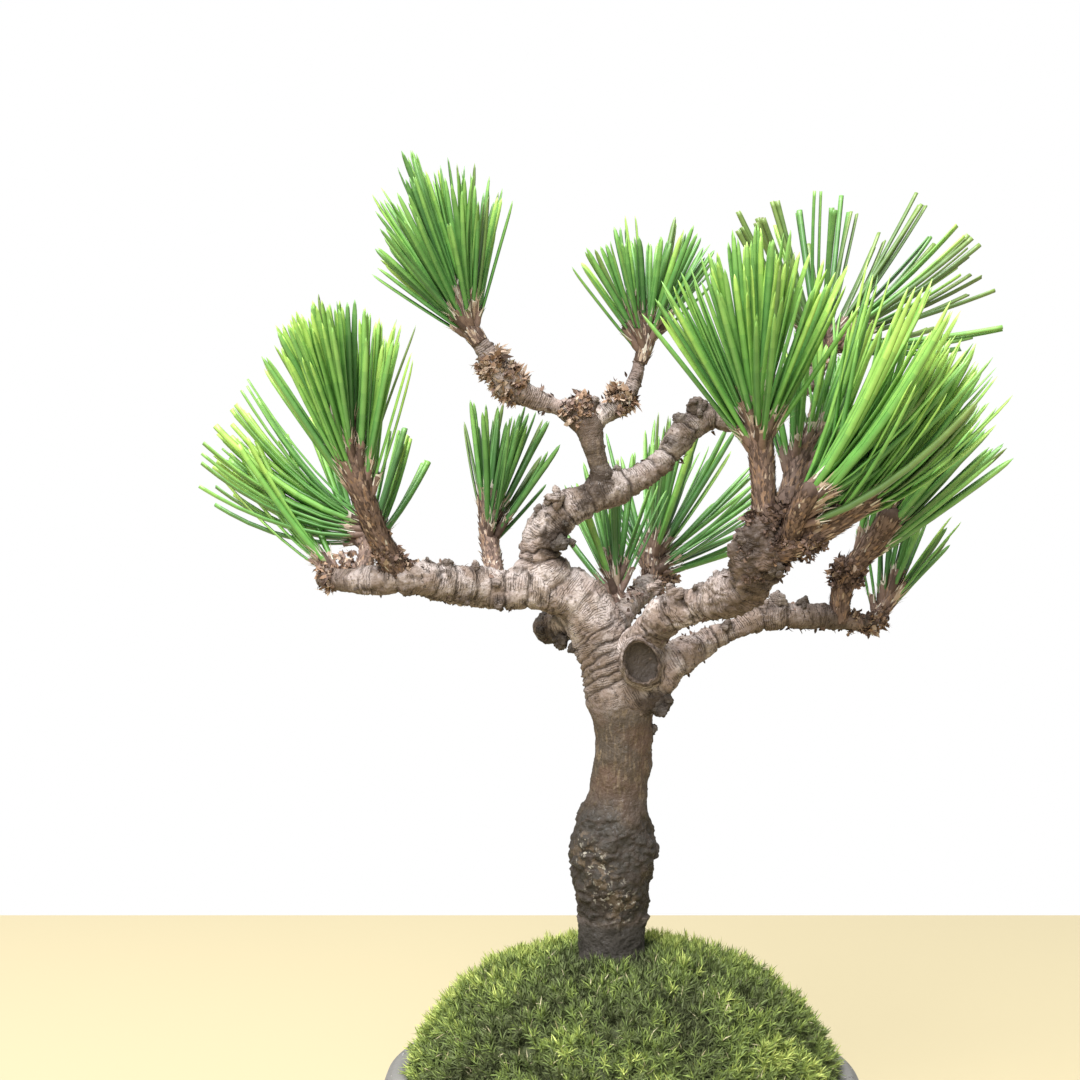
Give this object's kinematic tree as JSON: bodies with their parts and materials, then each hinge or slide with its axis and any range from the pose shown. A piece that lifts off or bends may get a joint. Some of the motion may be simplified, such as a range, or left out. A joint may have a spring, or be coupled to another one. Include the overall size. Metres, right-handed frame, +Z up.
{
  "type": "japanese black pine bonsai in a pot",
  "caption": "Small pine bonsai with a gnarled trunk, spreading boughs and brushes of long paired needles, rooted under a mound of moss in a round grey stoneware pot.",
  "frame": {"origin": "centre of the pot's flat underside, on the surface that it stands on", "axes": "+Z up, +X to the viewer's right with the scarred front of the tree facing the viewer, -Y towards the viewer"},
  "size_m": [0.1512, 0.1127, 0.2192],
  "materials": {
    "grey_stoneware": "matte",
    "soil": "matte",
    "moss": "matte",
    "bark": "matte",
    "needles": "satin"
  },
  "bodies": {
    "root": {"pot": "grey_stoneware", "root_ball": "soil", "moss": "moss", "trunk": "bark", "bough_left": "bark", "bough_right_low": "bark", "bough_right_front": "bark", "bough_back": "bark", "bough_apex": "bark", "bough_upright": "bark", "twig_top_left": "bark", "twig_top_right": "bark", "stub_back": "bark", "stub_front": "bark", "needles_top_left": "needles", "needles_top_centre": "needles", "needles_apex": "needles", "needles_left_front": "needles", "needles_left_back": "needles", "needles_centre_back": "needles", "needles_back_small": "needles", "needles_back_large": "needles", "needles_front_right": "needles", "needles_mid_right": "needles", "needles_sweep_right": "needles", "needles_low_right": "needles", "needles_tail_right": "needles"}
  },
  "joints": []
}
